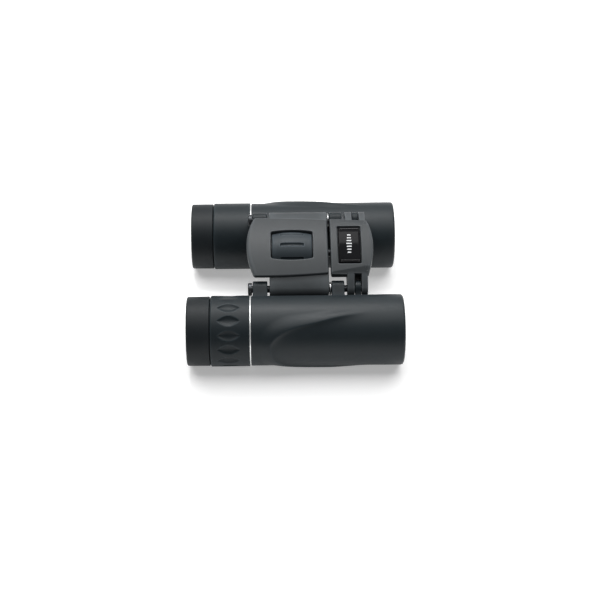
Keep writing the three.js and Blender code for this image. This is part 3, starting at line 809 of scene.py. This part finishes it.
def make_armour(word):
    """The skin of a barrel: relief under the palm, openings for the knuckles and for the focus arm."""
    place = BARRELS[word]
    outer, inner = skin_path()
    openings = (*KNUCKLE_OPENINGS, ARM_OPENING)
    half_widths = (KNUCKLE_OPENING_HALF, KNUCKLE_OPENING_HALF, ARM_OPENING_HALF)
    half_angles = [math.asin(half / SKIN_R) for half in half_widths]
    regular = np.radians(np.arange(-180, 180, 1.6))
    angle = np.concatenate((regular, half_angles, [-a for a in half_angles]))
    angle = thinned(np.round(angle, 5), 0.004)
    ways = np.array([place.to_3x3() @ Vector((0, math.sin(a), math.cos(a))) for a in angle])
    degrees = np.degrees(np.arctan2(ways[:, 2], SIDES[word] * ways[:, 1]))

    def ringed(x, radius):
        return np.stack((x, radius * np.sin(angle), radius * np.cos(angle)), -1)

    x = np.repeat(outer[:, :1], len(angle), 1)
    skin = ringed(x, outer[:, 1:] + palm_relief(x, np.repeat(degrees[None, :], len(outer), 0)))
    lining = ringed(np.repeat(inner[:, :1], len(angle), 1), inner[:, 1:])
    shape = open_shell(skin, lining, angle, openings, half_angles)
    add_piece(f"{word}_armour", shape, place, f"{word}_barrel", "armour", f"{word}_rubber_armour")


def open_shell(skin, lining, angle, openings, half_angles):
    """Outer and inner grids joined at both ends and round openings centred on angle 0.
    An opening that starts before the grid does is open at that end."""
    rows, columns = skin.shape[:2]
    kept = np.ones((rows - 1, columns), bool)
    middle_x = (skin[:-1, 0, 0] + skin[1:, 0, 0]) / 2
    after = np.append(angle[1:], angle[0] + FULL_TURN)
    middle_angle = (angle + after) / 2
    for (x0, x1), half in zip(openings, half_angles):
        kept &= ~np.outer((middle_x > x0) & (middle_x < x1), np.abs(middle_angle) < half)

    def number(layer, i, j):
        return layer * rows * columns + i * columns + j % columns

    faces = []
    for i, j in zip(*np.nonzero(kept)):
        faces.append([number(0, i, j), number(0, i, j + 1), number(0, i + 1, j + 1), number(0, i + 1, j)])
        faces.append([number(1, i, j), number(1, i + 1, j), number(1, i + 1, j + 1), number(1, i, j + 1)])
        sides = (
            (i == 0 or not kept[i - 1, j], (i, j), (i, j + 1)),
            (i == rows - 2 or not kept[i + 1, j], (i + 1, j + 1), (i + 1, j)),
            (not kept[i, j - 1], (i + 1, j), (i, j)),
            (not kept[i, (j + 1) % columns], (i, j + 1), (i + 1, j + 1)),
        )
        faces += [[number(0, *a), number(1, *a), number(1, *b), number(0, *b)] for bare, a, b in sides if bare]
    return np.vstack((skin.reshape(-1, 3), lining.reshape(-1, 3))), faces


def knuckle_arch(steps):
    """The half circle over the hinge pin, in (y, z) about the barrel's axis."""
    turn = np.linspace(0, math.pi, steps)
    return [(KNUCKLE_R * math.cos(a), HINGE_ARM + KNUCKLE_R * math.sin(a)) for a in turn]


def make_housing(word):
    """The two hinge knuckles of a barrel with the necks that they stand on."""
    foot = 13.2
    flank = [(KNUCKLE_R, foot), (KNUCKLE_R, 15), (KNUCKLE_R, 17)]
    section = knuckle_arch(30) + [(-y, z) for y, z in flank[::-1]] + [(0, foot)] + flank
    for part, span in zip(("rear", "front"), KNUCKLES):
        shape = bored_bar(lambda x: section, (0, HINGE_ARM), PIN_BORE_R, span, edge=0.45)
        add_piece(f"{word}_knuckle_{part}", shape, BARRELS[word], f"{word}_barrel", "shell",
                  f"{word}_barrel_housing")


def ring_dimples(x, radius, angle):
    """Depth of the lens-shaped finger scoops round the dioptre ring."""
    half_length, half_width, depth = DIMPLE_SIZE
    pitch = FULL_TURN / DIMPLES
    around = ((angle - DIMPLE_PHASE + pitch / 2) % pitch - pitch / 2) * RIM_R
    taper = np.maximum(1 - ((x - DIMPLE_X) / half_length) ** 2, 1e-6)
    across = 1 - (around / (half_width * taper)) ** 2
    return np.where(radius > RIM_R - 0.4, depth * np.sqrt(taper) * np.maximum(across, 0), 0)


def make_ocular_ring(word):
    """The dioptre ring on the right barrel, and the plain collar on the left one."""
    dimpled = word == "right"
    cad = "right_dioptre_ring" if dimpled else "left_ocular_collar"
    body = "right_dioptre" if dimpled else "left_barrel"
    x0, _, inner, _ = round_size(cad, BARRELS[word])
    x1 = TRIM_X - TRIM_HALF - CLEARANCE
    face, sleeve_r = x0 + 3.4, inner + 1.2
    outline = rounded([(x0, inner, 0.2), (x0, sleeve_r, 0.3), (face, sleeve_r, 0), (face, RIM_R, 0.55),
                       (x1, RIM_R, 0.2), (x1, inner, 0.2)])
    if dimpled:
        shape = turned(divided(outline, 0.35), steps=400, carve=ring_dimples)
    else:
        shape = turned(divided(outline, 1.5), steps=160)
    add_piece(f"{word}_ocular_ring", shape, BARRELS[word], body, "ring", cad)


def make_eyecup(word):
    """Rubber cup with a rolled lip, and a fold line inside where it turns down."""
    place = BARRELS[word]
    x0, x1, inner, outer = round_size(f"{word}_eyecup", place)
    outline = rounded([(x0, inner + 0.1, 0.5), (x0, outer - 0.05, 1.1), (x1, outer, 0.35), (x1, inner, 0.2),
                       (x1 - 2.0, inner, 0.2), (x1 - 2.3, inner + 0.5, 0.2), (x1 - 2.6, inner, 0.2)])
    shape = turned(divided(outline, 1.2), steps=160)
    add_piece(f"{word}_eyecup_rubber", shape, place, f"{word}_barrel", "eyecup", f"{word}_eyecup")


def lens_outline(radius, x0, x1, bulge_back, bulge_front):
    """Outline of a lens with two spherical faces, from its rim and how far each face bulges."""
    shares = np.linspace(1, 0, 12)
    back = [(x0 - bulge_back * (1 - s * s), radius * s) for s in shares]
    front = [(x1 + bulge_front * (1 - s * s), radius * s) for s in shares[::-1]]
    return back + front


def make_lens(word, cad, body, look, rim, bulge_back, bulge_front):
    """A lens whose rim lies between two stations along X, as wide as the CAD's."""
    node_name = f"{word}_{cad}"
    radius = round_size(node_name, BARRELS[word])[3]
    shape = turned(lens_outline(radius, *rim, bulge_back, bulge_front), steps=96)
    add_piece(f"{word}_{cad}_glass", shape, BARRELS[word], body, look, node_name)


def make_objective(word):
    """Objective cell with light-trap ridges, its focus arm and the eye that runs on the hinge pin."""
    place, body, cad = BARRELS[word], f"{word}_focus", f"{word}_objective_cell"
    bore, outside = CELL_R
    ridges = [(x, bore + (0.25 if k % 2 else 0)) for k, x in enumerate(np.arange(30.6, 37.4, 0.35))]
    outline = [(23.5, bore), (23.7, outside), (37.7, outside), (37.9, outside - 0.2), (37.9, bore + 0.1)]
    outline += ridges[::-1] + [(30.5, bore - 0.8), (29, bore - 0.8), (29, bore)]
    add_piece(f"{word}_objective_barrel", turned(outline, steps=96), place, body, "black", cad)
    foot = 11.8
    flank = [(ARM_HALF, foot), (ARM_HALF, 14), (ARM_HALF, 16.4), (2.9, 17.6)]
    section = knuckle_arch(24) + [(-y, z) for y, z in flank[::-1]] + [(0, foot)] + flank
    shape = bored_bar(lambda x: section, (0, HINGE_ARM), ARM_BORE_R, ARM_X, edge=0.25, stations=4)
    add_piece(f"{word}_focus_arm", shape, place, body, "shell", cad)


def make_hood(word):
    """Ring inside the objective end, stepped to stop stray light."""
    place = BARRELS[word]
    x0, x1, inner, outer = round_size(f"{word}_hood_ring", place)
    ridges = [(x, inner + (0.18 if k % 2 else 0)) for k, x in enumerate(np.arange(x0 + 0.3, x1 - 0.8, 0.4))]
    outline = [(x0, inner), (x0, outer), (x1, outer), (x1, outer - 0.1), (x1 - 0.7, inner)] + ridges[::-1]
    add_piece(f"{word}_hood", turned(outline, steps=128), place, f"{word}_barrel", "black", f"{word}_hood_ring")


def make_barrel(word):
    """Everything on one barrel; the right eyepiece and ring move on it, the left ones are part of it."""
    place, barrel, focus = BARRELS[word], f"{word}_barrel", f"{word}_focus"
    ocular = "right_ocular" if word == "right" else "left_barrel"
    make_armour(word)
    make_housing(word)
    make_ocular_ring(word)
    make_eyecup(word)
    make_objective(word)
    make_hood(word)
    trim = tube_outline(TRIM_X - TRIM_HALF, TRIM_X + TRIM_HALF, TRIM_BORE_R, SKIN_R + 0.05, edge=0.2)
    add_piece(f"{word}_trim", turned(trim, steps=160), place, barrel, "chrome", f"{word}_trim_ring")
    make_collar(f"{word}_objective_nut", f"{word}_objective_retainer", place, focus, "black")
    make_collar(f"{word}_ocular_nut", f"{word}_ocular_retainer", place, ocular, "black")
    make_collar(f"{word}_stop", f"{word}_field_stop", place, barrel, "black")
    make_lens(word, "objective_lens", focus, "coated", (30.9, 35.2), 0, 1.8)
    make_lens(word, "eye_lens", ocular, "coated", (-35.7, -33.2), 1.3, 1.0)
    make_lens(word, "field_lens", ocular, "glass", (-25.4, -23.2), 1.2, 0.6)


# ---------------------------------------------------------------- CAD nodes that stay
def finish_cad_nodes():
    """Welds and softens the edges of the CAD nodes that still show, and gives them their finish."""
    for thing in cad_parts.values():
        if thing.hide_render:
            continue
        look = MATERIALS[thing.data.materials[0].name.split(".")[0]]
        thing.data.materials.clear()
        thing.data.materials.append(look)
        thing.data.shade_smooth()
        weld = thing.modifiers.new("weld", "WELD")
        weld.merge_threshold = 0.005 * MM
        soft = thing.modifiers.new("soft_edges", "BEVEL")
        soft.width, soft.segments, soft.limit_method, soft.angle_limit = 0.12 * MM, 2, "ANGLE", SHARP
        thing.modifiers.new("shading", "WEIGHTED_NORMAL").keep_sharp = True


# ---------------------------------------------------------------- stage, light and camera
def add_floor():
    """A sheet of white paper, three metres each way, that the binoculars lie on."""
    half, level = 3.0, cad_box[0].z
    mesh = bpy.data.meshes.new("floor")
    corners = [(-half, -half, level), (half, -half, level), (half, half, level), (-half, half, level)]
    mesh.from_pydata(corners, [], [(0, 1, 2, 3)])
    floor = bpy.data.objects.new("floor", mesh)
    bpy.context.scene.collection.objects.link(floor)
    mesh.materials.append(surface("white_paper", (0.86, 0.86, 0.86), 0.75, grain=0.5, relief=0.004, mottle=0.004,
                                  Emission_Color=(1, 1, 1, 1), Emission_Strength=0.35))


def add_area_light(name, place, size, power, target=(0, 0, 0.015)):
    """A rectangular light that faces a target; places and sizes in metres, power in watts."""
    data = bpy.data.lights.new(name, "AREA")
    data.shape, data.size, data.size_y, data.energy = "RECTANGLE", size[0], size[1], power
    light = bpy.data.objects.new(name, data)
    light.location = place
    light.rotation_mode = "QUATERNION"
    light.rotation_quaternion = (Vector(target) - Vector(place)).to_track_quat("-Z", "Y")
    bpy.context.scene.collection.objects.link(light)


def add_light():
    """A dim white surround, a large light overhead, one behind and a small one near the cover."""
    world = bpy.data.worlds.new("studio")
    bpy.context.scene.world = world
    world.use_nodes = True
    background = world.node_tree.nodes["Background"]
    background.inputs["Color"].default_value = (1, 1, 1, 1)
    background.inputs["Strength"].default_value = 0.12
    add_area_light("overhead", (0.0, 0.3, 1.1), (2.2, 1.5), 24)
    add_area_light("back", (0.0, 1.2, 0.5), (2.2, 0.8), 3.5)
    add_area_light("near", (-0.02, 0.11, 0.26), (0.16, 0.06), 0.34, target=(-0.01, -0.03, 0.03))


def add_camera():
    """The camera at the photograph's viewing angle."""
    azimuth, elevation, roll = math.radians(-1.723), math.radians(44.412), math.radians(0.65)
    distance, target = 0.56939, Vector((0.002459, -0.011949, 0.01515))
    back = Vector((math.sin(azimuth) * math.cos(elevation), -math.cos(azimuth) * math.cos(elevation),
                   math.sin(elevation)))
    right = Vector((math.cos(azimuth), math.sin(azimuth), 0))
    up = back.cross(right)
    right, up = right * math.cos(roll) + up * math.sin(roll), up * math.cos(roll) - right * math.sin(roll)
    data = bpy.data.cameras.new("camera")
    data.lens, data.sensor_width = 78, 36
    camera = bpy.data.objects.new("camera", data)
    turn = Matrix((right, up, back)).transposed().to_4x4()
    camera.matrix_world = Matrix.Translation(target + back * distance) @ turn
    bpy.context.scene.collection.objects.link(camera)
    bpy.context.scene.camera = camera


add_camera()
add_floor()
add_light()
make_bridge()
make_wheel()
make_slide()
for barrel_word in SIDES:
    make_barrel(barrel_word)
finish_cad_nodes()
bpy.context.scene.view_settings.view_transform = "Standard"
